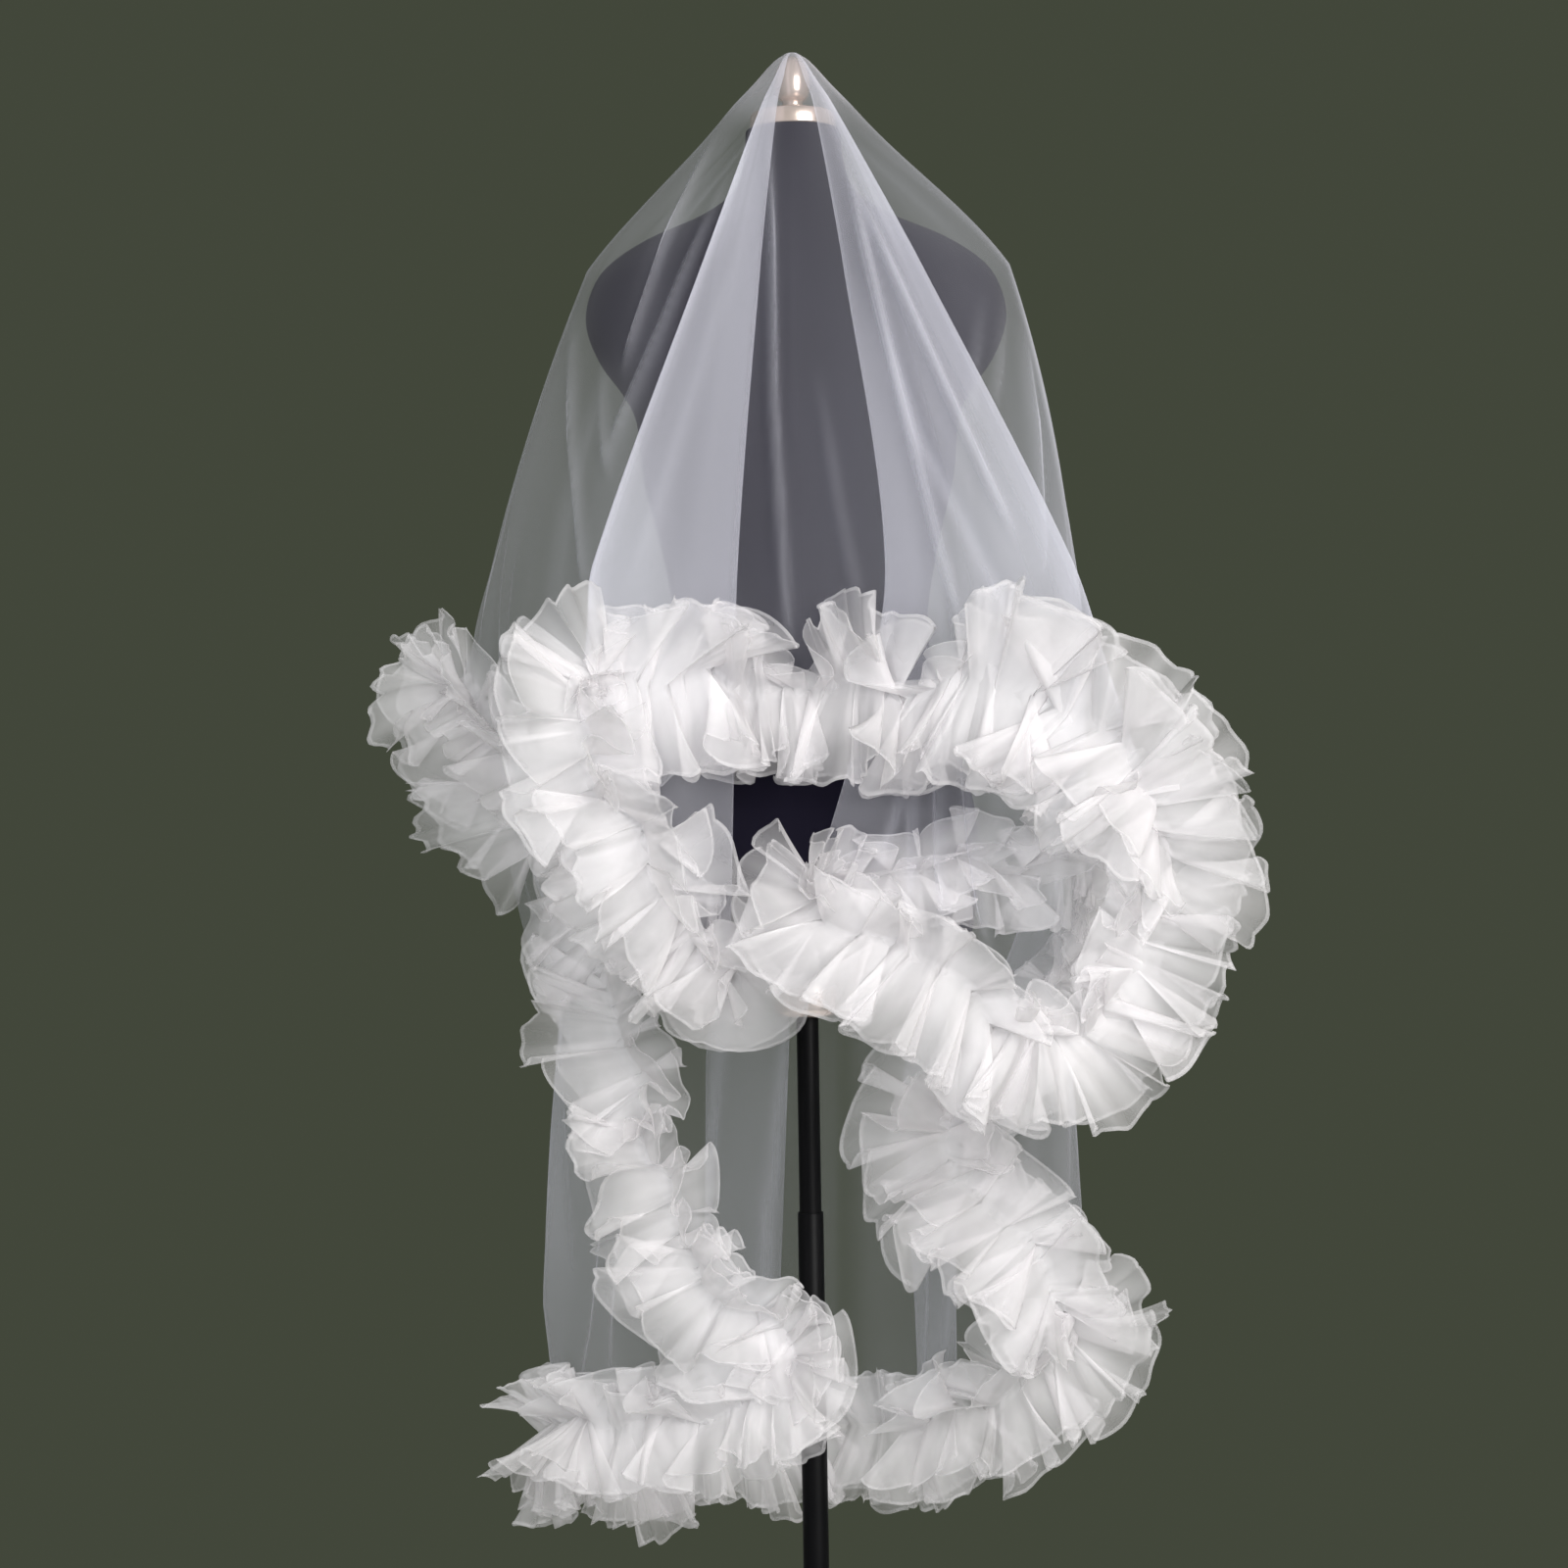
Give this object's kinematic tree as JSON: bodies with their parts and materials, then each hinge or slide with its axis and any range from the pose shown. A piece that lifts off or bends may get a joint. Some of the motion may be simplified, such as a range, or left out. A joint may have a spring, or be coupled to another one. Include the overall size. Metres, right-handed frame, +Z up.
{
  "type": "bridal cape veil on dress form",
  "caption": "Sheer tulle cape veil with a wide pleated ruffle round its edge, hanging from the knob of a limbless dress form on a telescoping round-base stand.",
  "frame": {"origin": "centre of the base's underside, on the axis of the pole", "axes": "+Z up along the pole; the front of the form and the short side of the veil face -Y; +X is to the right of a viewer who faces the front"},
  "size_m": [0.844, 0.5827, 1.7831],
  "materials": {
    "tulle": "sheer soft white tulle with a slight sheen",
    "form_cover": "matt black jersey over padding",
    "champagne_metal": "polished champagne plating",
    "black_paint": "satin black"
  },
  "bodies": {
    "stand": {"base_disc": "black_paint", "lower_pole": "black_paint"},
    "form": {"upper_pole": "black_paint", "bottom_collar": "champagne_metal", "form_torso": "form_cover", "neck_plate": "champagne_metal", "finial": "champagne_metal", "veil_panel": "tulle", "ruffle_front": "tulle", "ruffle_right_lobe": "tulle", "ruffle_right_inner": "tulle", "ruffle_right_under": "tulle", "ruffle_right_side": "tulle", "ruffle_right_lower": "tulle", "ruffle_back_hem": "tulle", "ruffle_left_corner": "tulle", "ruffle_left_lower": "tulle", "ruffle_left_side": "tulle", "ruffle_left_top": "tulle", "ruffle_left_inner": "tulle", "ruffle_left_lobe": "tulle"}
  },
  "joints": [
    {"name": "height_slide", "type": "slide", "parent": "stand", "child": "form", "axis": [0, 0, 1], "range_m": [-0.15, 0.2]}
  ]
}
